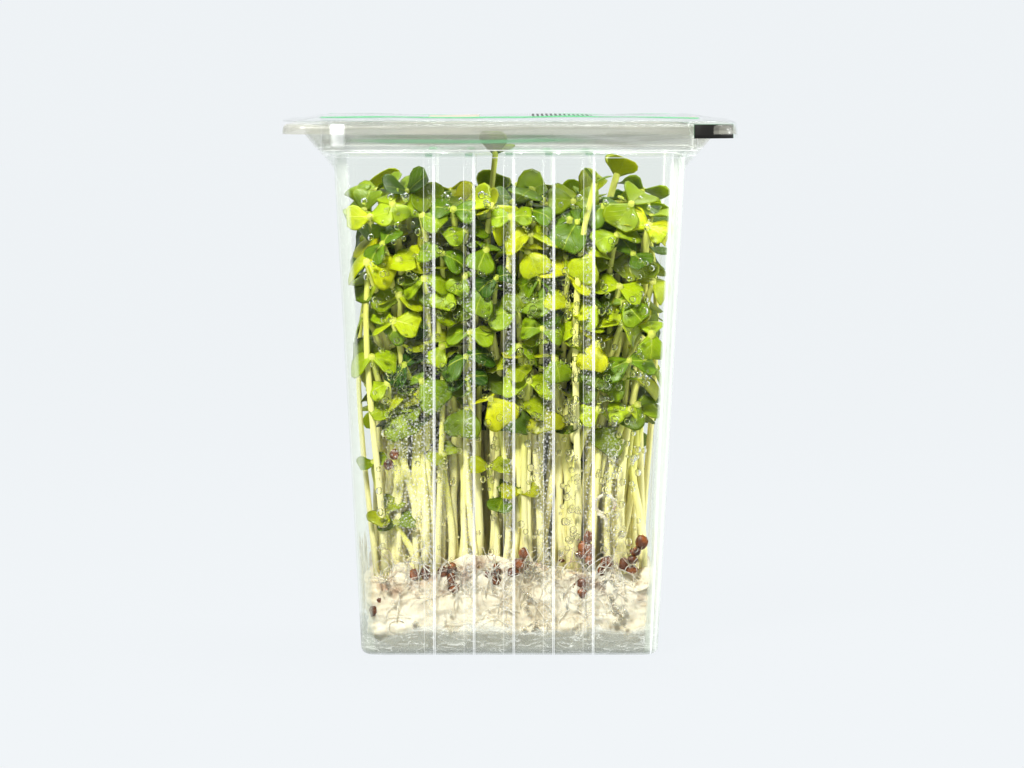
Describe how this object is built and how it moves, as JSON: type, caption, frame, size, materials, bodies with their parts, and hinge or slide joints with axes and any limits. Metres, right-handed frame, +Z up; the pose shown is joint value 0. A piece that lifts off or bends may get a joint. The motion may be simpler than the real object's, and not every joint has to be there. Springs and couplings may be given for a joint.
{
  "type": "microgreens tray",
  "caption": "Tall clear plastic tub of radish sprouts on their root mat, closed by a sealed clear film with a pull corner",
  "frame": {"origin": "centre of the bounding box on the floor plane that the tub's flat base rests on", "axes": "+Z up out of the tub's mouth, the tallest extent; -Y towards the front wall in the picture, and Y is the shortest extent; +X to the right along the wide front"},
  "size_m": [0.1092, 0.0846, 0.1305],
  "materials": {
    "clear_plastic": "gloss",
    "clear_film": "gloss",
    "white_root": "matte",
    "seed_leaf": "satin",
    "seed_hull": "matte"
  },
  "bodies": {
    "root": {"tub": "clear_plastic", "lid_film": "clear_film", "root_mat": "white_root", "sprouts_01": "seed_leaf", "sprouts_02": "seed_leaf", "sprouts_03": "seed_leaf", "sprouts_04": "seed_leaf", "sprouts_05": "seed_leaf", "sprouts_06": "seed_leaf", "sprouts_07": "seed_leaf", "sprouts_08": "seed_leaf", "sprouts_09": "seed_leaf", "sprouts_10": "seed_leaf", "sprouts_11": "seed_leaf", "sprouts_12": "seed_leaf", "sprouts_13": "seed_leaf", "sprouts_14": "seed_leaf", "sprouts_15": "seed_leaf", "sprouts_16": "seed_leaf", "sprouts_17": "seed_leaf", "sprouts_18": "seed_leaf", "sprouts_19": "seed_leaf", "sprouts_20": "seed_leaf", "sprouts_21": "seed_leaf", "sprouts_22": "seed_leaf", "sprouts_23": "seed_leaf", "sprouts_24": "seed_leaf", "sprouts_25": "seed_leaf", "sprouts_26": "seed_leaf", "sprouts_27": "seed_leaf", "sprouts_28": "seed_leaf", "seed_hull_01": "seed_hull", "seed_hull_02": "seed_hull", "seed_hull_03": "seed_hull", "seed_hull_04": "seed_hull", "seed_hull_05": "seed_hull", "seed_hull_06": "seed_hull", "seed_hull_07": "seed_hull", "seed_hull_08": "seed_hull", "seed_hull_09": "seed_hull", "seed_hull_10": "seed_hull"}
  },
  "joints": []
}
